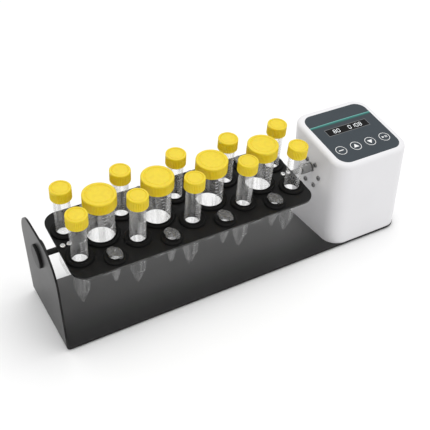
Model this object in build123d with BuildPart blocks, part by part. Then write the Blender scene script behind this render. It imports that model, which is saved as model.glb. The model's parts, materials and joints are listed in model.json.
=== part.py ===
from build123d import *
import os
from math import acos, atan2, cos, degrees, pi, radians, sin, sqrt, tan

os.makedirs("parts", exist_ok=True)

# A rotary mixer for sample tubes.  A bent sheet base carries a bearing in its upright end
# plate and a drive housing at the other end.  Between them a flat rack turns about a
# horizontal axis along X.  Millimetres, +Z up, origin under the middle of the machine.

# ---------------------------------------------------------------- driving dimensions
# base sheet and feet
base_length = 424.0
base_width = 104.0
sheet = 2.0
bend_radius = 4.0
end_plate_height = 112.0
end_plate_corner = 34.0
foot_height = 2.0
foot_radius = 6.0
foot_inset_x = 26.0
foot_inset_y = 14.0

# rack and the axis it turns on
axis_above_base = 84.0
rack_tilt = 8.0
rack_length = 277.0
rack_width = 99.0
rack_corner = 16.0
rack_sheet = 2.0
rack_gap_left = 19.5
shaft_radius = 3.0
shaft_under_rack = 17.0
rack_screw_spots = (5.5, 12.5)
screw_radius = 1.5
screw_head_radius = 2.9
screw_head_height = 1.7
screw_head_edge = 0.5

# sample tubes and the rubber grommets that grip them
tube_pitch = 61.7
row_offset = 20.5
micro_offset = 35.0
lip = 3.0
grommet_wall = 3.0
tube_radius_15 = 8.4
tube_radius_50 = 14.6
tube_radius_micro = 5.4
flange_radius_15 = tube_radius_15 + 6.1
flange_radius_50 = tube_radius_50 + 5.2
flange_radius_micro = tube_radius_micro + 6.6
cap_radius_15 = tube_radius_15 + 2.35
cap_radius_50 = tube_radius_50 + 2.3
cap_height_15 = 12.5
cap_height_50 = 13.0
cap_top_15 = 59.2
cap_top_50 = 56.0
tube_length_15 = 122.5
tube_length_50 = 114.0
cone_15 = 21.0
cone_50 = 14.0
tube_wall = 1.0
tube_floor = 1.5
cap_wall = 1.4
micro_length = 38.0
micro_cone = 17.0
micro_rim = 1.2
micro_lid_radius = tube_radius_micro + 1.2
micro_lid = 2.4
micro_plug = 2.5
micro_tab = (5.0, 5.5)
micro_tab_corner = 1.5
micro_strap = (4.0, 6.5)
micro_hinge = (2.2, 6.5)
micro_neck = (2.4, 4.0)
micro_tab_reach = 0.5
micro_hinge_reach = 1.4
micro_turn = -65.0

# bearing in the end plate
bearing_flange_radius = 15.0
bearing_flange = 5.0
bearing_spigot_radius = 12.5
bearing_outside = 3.0
bush_radius = 6.0
bush_length = 8.0

# drive housing
housing_length = 101.0
housing_width = 97.0
housing_front_inset = 0.5
housing_corner = 19.0
housing_wall = 2.5
housing_rim = 4.8
panel_slope = 11.3
panel_height = 117.5
panel_length = 86.0
panel_width = 84.0
panel_corner = 13.0
panel_shift = -1.5
overlay = 0.8
boss_radius = 4.5
boss_height = 20.0
boss_overlap = 1.0
housing_screw_length = 12.0
post_radius = 3.0
post_inset_x = 6.0
post_inset_y = 10.0

# keys, window and board, measured in the sloping plane of the panel
key_radius = 7.0
key_pitch = 20.4
key_row = -21.7
key_travel = 0.4
key_gap = 0.15
key_flange = 0.8
key_flange_reach = 1.2
key_stem_radius = 1.8
switch_side = 6.0
switch_height = 3.5
plunger_radius = 1.7
plunger_height = 0.9
window_length = 57.0
window_width = 10.0
window_row = 8.2
board_depth = 11.0
board_sheet = 1.6
board_margin = 4.0
module_margin = 2.0

# gear motor
motor_drop = 7.0
gearbox_radius = 18.5
gearbox_length = 22.0
gearbox_wall = 1.5
case_front = 3.0
case_screw_floor = 0.5
motor_radius = 17.2
motor_length = 32.0
can_front = 3.0
can_wall = 1.2
arbor_radius = 1.0
arbor_seat = 1.5
rotor_inset = 4.5
rotor_short = 11.0
rotor_gap = 2.0
nose_radius = 6.0
nose_length = 3.5
screw_circle = 31.0
hub_radius = 5.5
hub_length = 12.0
hub_gap = 2.0
hub_floor = 2.0
hub_edge = 0.5
grub_inset = 0.3
bore_room = 0.5
gear_module = 0.5
pressure_angle = 20.0
pinion_teeth = 10
idler_teeth = 24
output_teeth = 30
gear_face = 5.0
gear_start = 4.0
gear_space = 2.0
backlash = 0.12
long_addendum = 1.0
short_addendum = 0.55
bottom_gap = 0.12
pinion_margin = 0.5

# rear connections
jack_radius = 4.0
jack_bore = 2.8
jack_depth = 9.0
jack_back = 2.0
jack_collar = 1.5
jack_collar_height = 1.2
jack_pin_radius = 1.0
jack_offset = 20.0
rocker_length = 19.0
rocker_width = 13.0
rocker_rise = 0.8
rocker_dip = 0.6
rocker_belly = 2.0
rocker_swing = 7.0
bezel = 1.2
bezel_edge = 1.5
cup_wall = 0.8
cup_depth = 9.0
pivot_depth = 3.0
pivot_radius = 1.0
rear_row = 32.0

# clearances
running = 0.05
free = 0.15
slip = 0.1

# ---------------------------------------------------------------- derived places
overall_length = bearing_outside + base_length
left_face = bearing_outside - overall_length / 2
right_end = left_face + base_length
front_edge = -base_width / 2
base_top = foot_height + sheet
axis_height = foot_height + axis_above_base
rack_left = left_face + rack_gap_left
rack_right = rack_left + rack_length
rack_centre = (rack_left + rack_right) / 2
housing_left = right_end - housing_length
housing_centre_x = right_end - housing_length / 2
housing_centre_y = front_edge + housing_front_inset + housing_width / 2

rack_plane = Plane(
    origin=(rack_centre, 0, axis_height),
    x_dir=(1, 0, 0),
    z_dir=(0, -sin(radians(rack_tilt)), cos(radians(rack_tilt))),
)
rack_up = Axis(rack_plane.origin, rack_plane.z_dir)
panel_plane = Plane(
    origin=(housing_centre_x, housing_centre_y + panel_shift, foot_height + panel_height),
    x_dir=(1, 0, 0),
    z_dir=(0, -sin(radians(panel_slope)), cos(radians(panel_slope))),
)
upwards = (Align.CENTER, Align.CENTER, Align.MIN)
downwards = (Align.CENTER, Align.CENTER, Align.MAX)


def across(x, y=0.0, z=axis_height):
    """A plane that faces +X at the given point, with its own x along +Y and its own y up."""
    return Plane(origin=(x, y, z), x_dir=(0, 1, 0), z_dir=(1, 0, 0))


def spots(columns, rows):
    """Places on the rack: every column position with every row position."""
    return [(x, y, 0) for x in columns for y in rows]


columns_15 = [(i - 2) * tube_pitch for i in range(5)]
columns_mid = [(i - 1.5) * tube_pitch for i in range(4)]
spots_15 = spots(columns_15, (-row_offset, row_offset))
spots_50 = spots(columns_mid, (0.0,))
spots_micro = spots(columns_mid, (-micro_offset, micro_offset))
tab_x = rack_length / 2
screw_columns = [side * (tab_x - s) for side in (-1, 1) for s in rack_screw_spots]


def hole_radius(tube_radius):
    """Radius of the hole that a grommet needs in the rack sheet."""
    return tube_radius + running + grommet_wall


# ---------------------------------------------------------------- base sheet
# One sheet: the floor and the upright end plate, joined by a bend with round corners.
boss_reach = (housing_corner - housing_wall - boss_radius + boss_overlap) / sqrt(2)
boss_x = housing_length / 2 - housing_corner + boss_reach
boss_y = housing_width / 2 - housing_corner + boss_reach
base_centre_x = (left_face + right_end) / 2

with BuildPart() as base_plate:
    with BuildSketch(Plane.XZ.offset(-base_width / 2)) as section:
        with BuildLine():
            Polyline(
                (right_end, foot_height),
                (left_face, foot_height),
                (left_face, foot_height + end_plate_height),
                (left_face + sheet, foot_height + end_plate_height),
                (left_face + sheet, base_top),
                (right_end, base_top),
                close=True,
            )
        make_face()
        fillet(section.vertices().sort_by_distance((left_face, foot_height))[0], bend_radius)
        fillet(section.vertices().sort_by_distance((left_face + sheet, base_top))[0], bend_radius - sheet)
    extrude(amount=base_width)
    fillet(base_plate.edges().filter_by(Axis.X).group_by(Axis.Z)[-1], end_plate_corner)
    fillet(base_plate.edges().filter_by(Axis.Z).group_by(Axis.X)[-1], housing_corner)
    with BuildSketch(across(left_face)):
        Circle(bearing_spigot_radius)
    extrude(amount=sheet, mode=Mode.SUBTRACT)
    with BuildSketch(Plane.XY.offset(foot_height)):
        with Locations((housing_centre_x, housing_centre_y)):
            with GridLocations(2 * boss_x, 2 * boss_y, 2, 2):
                Circle(screw_radius + free)
    extrude(amount=sheet, mode=Mode.SUBTRACT)
base_plate.part.label = "base_plate"
export_step(base_plate.part, "parts/base_plate.step")

with BuildPart() as rubber_feet:
    with Locations((base_centre_x, 0, 0)):
        with GridLocations(base_length - 2 * foot_inset_x, base_width - 2 * foot_inset_y, 2, 2):
            Cylinder(foot_radius, foot_height, align=upwards)
    fillet(rubber_feet.edges().group_by(Axis.Z)[0], foot_height / 4)
rubber_feet.part.label = "rubber_feet"
export_step(rubber_feet.part, "parts/rubber_feet.step")

# ---------------------------------------------------------------- end bearing
# A turned cup: its spigot fills the hole in the end plate, its flange lies on the inside.
bearing_outer_face = left_face - bearing_outside
bearing_length = bearing_outside + sheet + bearing_flange

with BuildPart(across(bearing_outer_face)) as bearing_housing:
    Cylinder(bearing_spigot_radius, bearing_outside + sheet, align=upwards)
    with Locations((0, 0, bearing_outside + sheet)):
        Cylinder(bearing_flange_radius, bearing_flange, align=upwards)
    with Locations((0, 0, bearing_length)):
        Cylinder(bush_radius, bush_length, align=downwards, mode=Mode.SUBTRACT)
    chamfer(bearing_housing.edges().group_by(Axis.X)[0], bearing_outside / 4)
    chamfer(bearing_housing.edges().group_by(Axis.X)[-1].sort_by(SortBy.RADIUS)[-1], bearing_flange / 6)
bearing_housing.part.label = "bearing_housing"
export_step(bearing_housing.part, "parts/bearing_housing.step")

bush_start = bearing_outer_face + bearing_length - bush_length
with BuildPart(across(bush_start)) as bearing_bush:
    Cylinder(bush_radius, bush_length, align=upwards)
    Cylinder(shaft_radius + running, bush_length, align=upwards, mode=Mode.SUBTRACT)
bearing_bush.part.label = "bearing_bush"
export_step(bearing_bush.part, "parts/bearing_bush.step")

# ---------------------------------------------------------------- rack
def along_rack(x):
    """A plane that faces +X on the turning axis, whose own y is the rack's upward direction."""
    return Plane(origin=(x, 0, axis_height), x_dir=rack_plane.y_dir, z_dir=(1, 0, 0))


with BuildPart() as rack_plate:
    with BuildSketch(rack_plane):
        RectangleRounded(rack_length, rack_width, rack_corner)
        for places, radius in (
            (spots_15, hole_radius(tube_radius_15)),
            (spots_50, hole_radius(tube_radius_50)),
            (spots_micro, hole_radius(tube_radius_micro)),
        ):
            with Locations(*places):
                Circle(radius, mode=Mode.SUBTRACT)
        with Locations(*[(x, 0) for x in screw_columns]):
            Circle(screw_radius + slip, mode=Mode.SUBTRACT)
    extrude(amount=rack_sheet)
rack_plate.part.label = "rack_plate"
export_step(rack_plate.part, "parts/rack_plate.step")

# Both shafts are milled flat over the stretch that lies under the rack sheet.
shaft_start = bush_start + slip
flat_start = rack_left - free
with BuildPart(along_rack(shaft_start)) as end_shaft:
    Cylinder(shaft_radius, rack_left + shaft_under_rack - shaft_start, align=upwards)
    with Locations((0, 0, flat_start - shaft_start)):
        Box(
            2 * shaft_radius,
            shaft_radius,
            shaft_under_rack + 2 * free,
            align=(Align.CENTER, Align.MIN, Align.MIN),
            mode=Mode.SUBTRACT,
        )
    with BuildSketch(rack_plane):
        with Locations(*[(x, 0) for x in screw_columns[:2]]):
            Circle(screw_radius)
    extrude(amount=-2 * shaft_radius, mode=Mode.SUBTRACT)
end_shaft.part.label = "end_shaft"
export_step(end_shaft.part, "parts/end_shaft.step")

hub_end = housing_left - hub_gap
hub_start = hub_end - hub_length
stub_start = rack_right - shaft_under_rack
hub_bore_depth = hub_length - hub_floor
with BuildPart(along_rack(stub_start)) as drive_hub:
    Cylinder(shaft_radius, hub_start - stub_start, align=upwards)
    with Locations((0, 0, hub_start - stub_start)):
        Cylinder(hub_radius, hub_length, align=upwards)
    chamfer(drive_hub.edges().group_by(Axis.X)[-1], hub_edge)
    with Locations((0, 0, hub_end - stub_start)):
        Cylinder(shaft_radius, hub_bore_depth, align=downwards, mode=Mode.SUBTRACT)
    Box(
        2 * shaft_radius,
        shaft_radius,
        shaft_under_rack + free,
        align=(Align.CENTER, Align.MIN, Align.MIN),
        mode=Mode.SUBTRACT,
    )
    with BuildSketch(rack_plane):
        with Locations(*[(x, 0) for x in screw_columns[2:]]):
            Circle(screw_radius)
    extrude(amount=-2 * shaft_radius, mode=Mode.SUBTRACT)
    with BuildSketch(rack_plane):
        with Locations((hub_end - hub_bore_depth / 2 - rack_centre, 0)):
            Circle(screw_radius)
    extrude(amount=hub_radius + slip, mode=Mode.SUBTRACT)
drive_hub.part.label = "drive_hub"
export_step(drive_hub.part, "parts/drive_hub.step")

# Four screws hold the rack sheet on the shafts, and a grub screw holds the hub on the motor.
with BuildPart(rack_plane) as rotor_screws:
    with Locations(*[(x, 0, rack_sheet) for x in screw_columns]):
        Cylinder(screw_head_radius, screw_head_height, align=upwards)
        Cylinder(screw_radius, rack_sheet + shaft_radius, align=downwards)
    fillet(rotor_screws.edges().filter_by(GeomType.CIRCLE).group_by(rack_up)[-1], screw_head_edge)
    with Locations((hub_end - hub_bore_depth / 2 - rack_centre, 0, shaft_radius)):
        Cylinder(screw_radius, hub_radius - shaft_radius - grub_inset, align=upwards)
rotor_screws.part.label = "rotor_screws"
export_step(rotor_screws.part, "parts/rotor_screws.step")


# ---------------------------------------------------------------- grommets and tubes
def grommet(tube_radius, flange_radius):
    """A rubber ring with a groove that holds the rack sheet and a bore that grips a tube."""
    bore = tube_radius + running
    hole = hole_radius(tube_radius)
    with BuildPart() as ring:
        with BuildSketch(Plane.XZ):
            with BuildLine():
                Polyline(
                    (bore, -lip),
                    (flange_radius, -lip),
                    (flange_radius, 0),
                    (hole, 0),
                    (hole, rack_sheet),
                    (flange_radius, rack_sheet),
                    (flange_radius, rack_sheet + lip),
                    (bore, rack_sheet + lip),
                    close=True,
                )
            make_face()
        revolve(axis=Axis.Z)
        fillet(ring.edges().group_by(Axis.Z)[-1], lip / 4)
        fillet(ring.edges().group_by(Axis.Z)[0], lip / 4)
    return ring.part


def tube(radius, cap_radius, cap_top, cap_height, length, cone):
    """A tube with a conical end, open at the top, with a wider neck under its cap."""
    top = cap_top - cap_wall - slip
    tip = cap_top - length
    neck = cap_radius - cap_wall - slip
    neck_start = cap_top - cap_height + slip
    inside = radius - tube_wall
    tip_radius = radius / 4
    with BuildPart() as shape:
        with BuildSketch(Plane.XZ):
            with BuildLine():
                Polyline(
                    (0, tip),
                    (tip_radius, tip),
                    (radius, tip + cone),
                    (radius, neck_start),
                    (neck, neck_start),
                    (neck, top),
                    (inside, top),
                    (inside, tip + cone),
                    (tip_radius - tube_wall / 2, tip + tube_floor),
                    (0, tip + tube_floor),
                    close=True,
                )
            make_face()
        revolve(axis=Axis.Z)
    return shape.part


def screw_cap(radius, top, height):
    """A cup that covers a tube's neck."""
    with BuildPart() as shape:
        with Locations((0, 0, top)):
            Cylinder(radius, height, align=downwards)
        fillet(shape.edges().group_by(Axis.Z)[-1], cap_wall / 2)
        with Locations((0, 0, top - cap_wall)):
            Cylinder(radius - cap_wall, height - cap_wall, align=downwards, mode=Mode.SUBTRACT)
    return shape.part


def micro_tube():
    """A small tube with its snap lid shut: the lid hangs on a strap behind the rim."""
    rim = rack_sheet + lip + slip
    top = rim + micro_rim
    tip = top - micro_length
    inside = tube_radius_micro - tube_wall
    lid_plane = Plane.XY.offset(top + slip)
    with BuildPart() as shape:
        with BuildSketch(Plane.XZ):
            with BuildLine():
                Polyline(
                    (0, tip),
                    (tube_radius_micro / 3, tip),
                    (tube_radius_micro, tip + micro_cone),
                    (tube_radius_micro, rim),
                    (micro_lid_radius, rim),
                    (micro_lid_radius, top),
                    (inside, top),
                    (inside, tip + micro_cone),
                    (tube_radius_micro / 3 - tube_wall / 3, tip + tube_wall),
                    (0, tip + tube_wall),
                    close=True,
                )
            make_face()
        revolve(axis=Axis.Z)
        with BuildSketch(lid_plane):
            Circle(micro_lid_radius)
            with Locations((micro_lid_radius + micro_tab_reach, 0)):
                RectangleRounded(*micro_tab, micro_tab_corner)
            with Locations((-micro_lid_radius - micro_tab_reach, 0)):
                Rectangle(*micro_strap)
        extrude(amount=micro_lid)
        with BuildSketch(lid_plane):
            Circle(inside - slip)
        extrude(amount=-micro_plug)
        with BuildSketch(Plane.XY.offset(rim)):
            with Locations((-micro_lid_radius - micro_hinge_reach, 0)):
                Rectangle(*micro_hinge)
            with Locations((-micro_lid_radius, 0)):
                Rectangle(*micro_neck)
        extrude(amount=micro_rim + slip)
    return shape.part


grommet_15 = grommet(tube_radius_15, flange_radius_15)
with BuildPart(rack_plane) as grommets_15ml:
    with Locations(*spots_15):
        add(grommet_15)
grommets_15ml.part.label = "grommets_15ml"
export_step(grommets_15ml.part, "parts/grommets_15ml.step")

grommet_50 = grommet(tube_radius_50, flange_radius_50)
with BuildPart(rack_plane) as grommets_50ml:
    with Locations(*spots_50):
        add(grommet_50)
grommets_50ml.part.label = "grommets_50ml"
export_step(grommets_50ml.part, "parts/grommets_50ml.step")

grommet_micro = grommet(tube_radius_micro, flange_radius_micro)
with BuildPart(rack_plane) as grommets_micro:
    with Locations(*spots_micro):
        add(grommet_micro)
grommets_micro.part.label = "grommets_micro"
export_step(grommets_micro.part, "parts/grommets_micro.step")

# The lid straps point back and a little to the left.
micro_shape = micro_tube()
with BuildPart(rack_plane) as microtubes:
    for x, y, z in spots_micro:
        with Locations(Location((x, y, z), (0, 0, micro_turn))):
            add(micro_shape)
microtubes.part.label = "microtubes"
export_step(microtubes.part, "parts/microtubes.step")

tube_15 = tube(tube_radius_15, cap_radius_15, cap_top_15, cap_height_15, tube_length_15, cone_15)
cap_15 = screw_cap(cap_radius_15, cap_top_15, cap_height_15)
tube_50 = tube(tube_radius_50, cap_radius_50, cap_top_50, cap_height_50, tube_length_50, cone_50)
cap_50 = screw_cap(cap_radius_50, cap_top_50, cap_height_50)

for size, places, tube_shape, cap_shape in (
    ("15ml", spots_15, tube_15, cap_15),
    ("50ml", spots_50, tube_50, cap_50),
):
    for number, place in enumerate(places, start=1):
        with BuildPart(rack_plane) as sample_tube:
            with Locations(place):
                add(tube_shape)
        sample_tube.part.label = f"tube_{size}_{number}"
        export_step(sample_tube.part, f"parts/tube_{size}_{number}.step")
        with BuildPart(rack_plane) as tube_cap:
            with Locations(place):
                add(cap_shape)
        tube_cap.part.label = f"cap_{size}_{number}"
        export_step(tube_cap.part, f"parts/cap_{size}_{number}.step")

# ---------------------------------------------------------------- drive housing
# A shell with round corners, open below, whose top slopes down to the front.
shell_height = panel_height + housing_width
with BuildPart() as cavity:
    with BuildSketch(Plane.XY.offset(base_top)):
        with Locations((housing_centre_x, housing_centre_y)):
            RectangleRounded(
                housing_length - 2 * housing_wall,
                housing_width - 2 * housing_wall,
                housing_corner - housing_wall,
            )
    extrude(amount=shell_height)
    split(bisect_by=panel_plane.offset(-housing_wall), keep=Keep.BOTTOM)

key_spots = [((i - 1.5) * key_pitch, key_row) for i in range(4)]
wall_inside = housing_left + housing_wall
motor_height = axis_height - motor_drop
rear_face = housing_centre_y + housing_width / 2
jack_x = housing_centre_x + jack_offset
switch_x = housing_centre_x - jack_offset
rear_height = foot_height + rear_row
rear_plane = Plane(origin=(0, rear_face, 0), x_dir=(1, 0, 0), z_dir=(0, -1, 0))
post_x = panel_length / 2 - post_inset_x
post_y = panel_width / 2 - post_inset_y

with BuildPart() as housing:
    with BuildSketch(Plane.XY.offset(base_top)):
        with Locations((housing_centre_x, housing_centre_y)):
            RectangleRounded(housing_length, housing_width, housing_corner)
    extrude(amount=shell_height)
    split(bisect_by=panel_plane, keep=Keep.BOTTOM)
    fillet(housing.faces().sort_by(Axis.Z)[-1].edges(), housing_rim)
    add(cavity.part, mode=Mode.SUBTRACT)
    with BuildSketch(Plane.XY.offset(base_top)):
        with Locations((housing_centre_x, housing_centre_y)):
            with GridLocations(2 * boss_x, 2 * boss_y, 2, 2):
                Circle(boss_radius)
                Circle(screw_radius, mode=Mode.SUBTRACT)
    extrude(amount=boss_height)
    with BuildSketch(panel_plane.offset(-housing_wall)):
        with GridLocations(2 * post_x, 2 * post_y, 2, 2):
            Circle(post_radius)
    extrude(amount=housing_wall - board_depth)
    with BuildSketch(panel_plane):
        RectangleRounded(panel_length, panel_width, panel_corner)
    extrude(amount=-overlay, mode=Mode.SUBTRACT)
    with BuildSketch(panel_plane):
        with Locations((0, window_row)):
            Rectangle(window_length, window_width)
        with Locations(*key_spots):
            Circle(key_radius + key_gap)
    extrude(amount=-housing_wall, mode=Mode.SUBTRACT)
    with BuildSketch(across(housing_left)):
        Circle(nose_radius + free)
        with Locations((0, -motor_drop)):
            with PolarLocations(screw_circle / 2, 6):
                Circle(screw_radius + free)
    extrude(amount=housing_wall, mode=Mode.SUBTRACT)
    with BuildSketch(rear_plane):
        with Locations((jack_x, rear_height)):
            Circle(jack_radius)
        with Locations((switch_x, rear_height)):
            Rectangle(rocker_length, rocker_width)
    extrude(amount=housing_wall, mode=Mode.SUBTRACT)
housing.part.label = "housing"
export_step(housing.part, "parts/housing.step")

with BuildPart() as housing_screws:
    with Locations((housing_centre_x, housing_centre_y, foot_height)):
        with GridLocations(2 * boss_x, 2 * boss_y, 2, 2):
            Cylinder(screw_head_radius, screw_head_height, align=downwards)
            Cylinder(screw_radius, housing_screw_length, align=upwards)
housing_screws.part.label = "housing_screws"
export_step(housing_screws.part, "parts/housing_screws.step")

# ---------------------------------------------------------------- control panel
with BuildPart() as control_panel:
    with BuildSketch(panel_plane):
        RectangleRounded(panel_length, panel_width, panel_corner)
        with Locations((0, window_row)):
            Rectangle(window_length, window_width, mode=Mode.SUBTRACT)
        with Locations(*key_spots):
            Circle(key_radius + key_gap, mode=Mode.SUBTRACT)
    extrude(amount=-overlay)
control_panel.part.label = "control_panel"
export_step(control_panel.part, "parts/control_panel.step")

with BuildPart(panel_plane) as display_window:
    with Locations((0, window_row, 0)):
        Box(window_length - slip, window_width - slip, housing_wall, align=downwards)
display_window.part.label = "display_window"
export_step(display_window.part, "parts/display_window.step")

with BuildPart(panel_plane) as display_module:
    with Locations((0, window_row, -board_depth)):
        Box(
            window_length + 2 * module_margin,
            window_width + 2 * module_margin,
            board_depth - housing_wall - slip,
            align=upwards,
        )
display_module.part.label = "display_module"
export_step(display_module.part, "parts/display_module.step")

with BuildPart() as circuit_board:
    with BuildSketch(panel_plane.offset(-board_depth)):
        Rectangle(2 * (post_x + board_margin), 2 * (post_y + board_margin))
    extrude(amount=-board_sheet)
circuit_board.part.label = "circuit_board"
export_step(circuit_board.part, "parts/circuit_board.step")

with BuildPart(panel_plane) as key_switches:
    with Locations(*[(x, y, -board_depth) for x, y in key_spots]):
        Box(switch_side, switch_side, switch_height, align=upwards)
        Cylinder(plunger_radius, switch_height + plunger_height, align=upwards)
key_switches.part.label = "key_switches"
export_step(key_switches.part, "parts/key_switches.step")

# Each key is a disc flush with the panel, kept in by a flange under the wall.
flange_top = -housing_wall - slip
stem_end = -board_depth + switch_height + plunger_height + key_travel + slip
for key_name, (x, y) in zip(("key_menu", "key_up", "key_down", "key_run"), key_spots):
    with BuildPart(panel_plane) as key:
        with Locations((x, y, 0)):
            Cylinder(key_radius, -flange_top, align=downwards)
        with Locations((x, y, flange_top)):
            Cylinder(key_radius + key_flange_reach, key_flange, align=downwards)
        with Locations((x, y, stem_end)):
            Cylinder(key_stem_radius, flange_top - stem_end, align=upwards)
    key.part.label = key_name
    export_step(key.part, f"parts/{key_name}.step")


# ---------------------------------------------------------------- gear motor
def involute(angle):
    """The involute function of a pressure angle in radians."""
    return tan(angle) - angle


def gear(teeth, addendum, dedendum):
    """Outline of a spur gear with involute flanks, one tooth centred on its own x axis."""
    pitch_radius = gear_module * teeth / 2
    base_radius = pitch_radius * cos(radians(pressure_angle))
    root_radius = pitch_radius - dedendum
    tip_radius = pitch_radius + addendum
    start_radius = max(base_radius, root_radius)
    middle_radius = (start_radius + tip_radius) / 2

    def on_flank(radius, side):
        half = pi / (2 * teeth) - backlash / (4 * pitch_radius)
        half += involute(radians(pressure_angle)) - involute(acos(min(1.0, base_radius / radius)))
        return (radius * cos(half), side * radius * sin(half))

    with BuildSketch() as tooth:
        with BuildLine():
            left = ThreePointArc(*[on_flank(r, 1) for r in (start_radius, middle_radius, tip_radius)])
            right = ThreePointArc(*[on_flank(r, -1) for r in (start_radius, middle_radius, tip_radius)])
            ThreePointArc(left @ 1, (tip_radius, 0), right @ 1)
            Polyline(left @ 0, (root_radius / 2, 0), right @ 0)
        make_face()
    with BuildSketch() as outline:
        Circle(root_radius)
        with PolarLocations(0, teeth):
            add(tooth.sketch)
    return outline.sketch


large_addendum = short_addendum * gear_module
small_addendum = long_addendum * gear_module
pinion_sketch = gear(pinion_teeth, small_addendum, large_addendum + bottom_gap)
idler_sketch = gear(idler_teeth, large_addendum, small_addendum + bottom_gap)
output_sketch = gear(output_teeth, large_addendum, small_addendum + bottom_gap)

# The idler meshes with the output gear and with the motor's pinion, so its axis lies at the
# corner of a triangle whose sides are the two centre distances and the motor's drop.
output_centres = gear_module * (output_teeth + pinion_teeth) / 2
motor_centres = gear_module * (idler_teeth + pinion_teeth) / 2
idler_drop = (output_centres**2 - motor_centres**2 + motor_drop**2) / (2 * motor_drop)
idler_side = sqrt(output_centres**2 - idler_drop**2)
to_idler = degrees(atan2(-idler_drop, idler_side))
to_motor = degrees(atan2(idler_drop - motor_drop, -idler_side))
output_plane_x = wall_inside + gear_start
idler_plane_x = output_plane_x + gear_face + gear_space
can_start = wall_inside + gearbox_length


def turned(x, y, z, angle):
    """A plane that faces +X at the given point, turned by an angle about that direction."""
    start = (0, cos(radians(angle)), sin(radians(angle)))
    return Plane(origin=(x, y, axis_height + z), x_dir=start, z_dir=(1, 0, 0))


with BuildPart(across(wall_inside, 0, motor_height)) as gearbox_case:
    Cylinder(gearbox_radius, gearbox_length, align=upwards)
    with Locations((0, 0, case_front)):
        Cylinder(gearbox_radius - gearbox_wall, gearbox_length, align=upwards, mode=Mode.SUBTRACT)
    with Locations((0, motor_drop, 0)):
        Cylinder(nose_radius, nose_length, align=downwards)
        Cylinder(shaft_radius + running, 2 * case_front, mode=Mode.SUBTRACT)
        Cylinder(shaft_radius + running, nose_length, align=downwards, mode=Mode.SUBTRACT)
    with PolarLocations(screw_circle / 2, 6):
        Cylinder(screw_radius, case_front - case_screw_floor, align=upwards, mode=Mode.SUBTRACT)
    with Locations((idler_side, motor_drop - idler_drop, case_front)):
        Cylinder(arbor_radius + running, arbor_seat, align=downwards, mode=Mode.SUBTRACT)
gearbox_case.part.label = "gearbox_case"
export_step(gearbox_case.part, "parts/gearbox_case.step")

with BuildPart(across(can_start, 0, motor_height)) as motor_can:
    Cylinder(motor_radius, motor_length, align=upwards)
    Cylinder(gearbox_radius, can_front, align=upwards)
    with Locations((0, 0, can_front)):
        Cylinder(
            motor_radius - can_wall,
            motor_length - can_front - can_wall,
            align=upwards,
            mode=Mode.SUBTRACT,
        )
    Cylinder(arbor_radius + running, can_front, align=upwards, mode=Mode.SUBTRACT)
    with Locations((idler_side, motor_drop - idler_drop, 0)):
        Cylinder(arbor_radius + running, arbor_seat, align=upwards, mode=Mode.SUBTRACT)
motor_can.part.label = "motor_can"
export_step(motor_can.part, "parts/motor_can.step")

with BuildPart(across(housing_left, 0, motor_height)) as motor_screws:
    with PolarLocations(screw_circle / 2, 6):
        Cylinder(screw_head_radius, screw_head_height, align=downwards)
        Cylinder(screw_radius, housing_wall + case_front - 2 * case_screw_floor, align=upwards)
motor_screws.part.label = "motor_screws"
export_step(motor_screws.part, "parts/motor_screws.step")

output_start = hub_end - hub_bore_depth + bore_room
with BuildPart(across(output_start)) as output_shaft:
    Cylinder(shaft_radius, output_plane_x + gear_face - output_start, align=upwards)
    with BuildSketch(turned(output_plane_x, 0, 0, to_idler)):
        add(output_sketch)
    extrude(amount=gear_face)
output_shaft.part.label = "output_shaft"
export_step(output_shaft.part, "parts/output_shaft.step")

arbor_start = wall_inside + case_front - arbor_seat + slip
arbor_length = gearbox_length - case_front + 2 * arbor_seat - 2 * slip
with BuildPart(across(arbor_start, idler_side, axis_height - idler_drop)) as idler_gear:
    Cylinder(arbor_radius, arbor_length, align=upwards)
    with BuildSketch(turned(output_plane_x, idler_side, -idler_drop, to_idler + 180 + 180 / pinion_teeth)):
        add(pinion_sketch)
    extrude(amount=idler_plane_x - output_plane_x)
    with BuildSketch(turned(idler_plane_x, idler_side, -idler_drop, to_motor)):
        add(idler_sketch)
    extrude(amount=gear_face)
idler_gear.part.label = "idler_gear"
export_step(idler_gear.part, "parts/idler_gear.step")

rotor_start = idler_plane_x - pinion_margin
with BuildPart(across(rotor_start, 0, motor_height)) as motor_rotor:
    Cylinder(arbor_radius, can_start + motor_length - can_wall - rotor_gap / 2 - rotor_start, align=upwards)
    with BuildSketch(turned(rotor_start, 0, -motor_drop, to_motor + 180 + 180 / pinion_teeth)):
        add(pinion_sketch)
    extrude(amount=gear_face + 2 * pinion_margin)
    with Locations((0, 0, can_start + can_front + rotor_gap - rotor_start)):
        Cylinder(motor_radius - rotor_inset, motor_length - rotor_short, align=upwards)
motor_rotor.part.label = "motor_rotor"
export_step(motor_rotor.part, "parts/motor_rotor.step")

# ---------------------------------------------------------------- rear connections
# A round inlet for the supply's plug, and a rocker switch in its frame.
inlet_plane = Plane(origin=(jack_x, rear_face, rear_height), x_dir=(1, 0, 0), z_dir=(0, 1, 0))
with BuildPart(inlet_plane) as dc_jack:
    Cylinder(jack_radius + jack_collar, jack_collar_height, align=upwards)
    Cylinder(jack_radius, jack_depth + jack_back, align=downwards)
    with Locations((0, 0, jack_collar_height)):
        Cylinder(jack_bore, jack_depth + jack_collar_height, align=downwards, mode=Mode.SUBTRACT)
        Cylinder(jack_pin_radius, jack_depth + jack_collar_height, align=downwards)
dc_jack.part.label = "dc_jack"
export_step(dc_jack.part, "parts/dc_jack.step")

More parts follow.
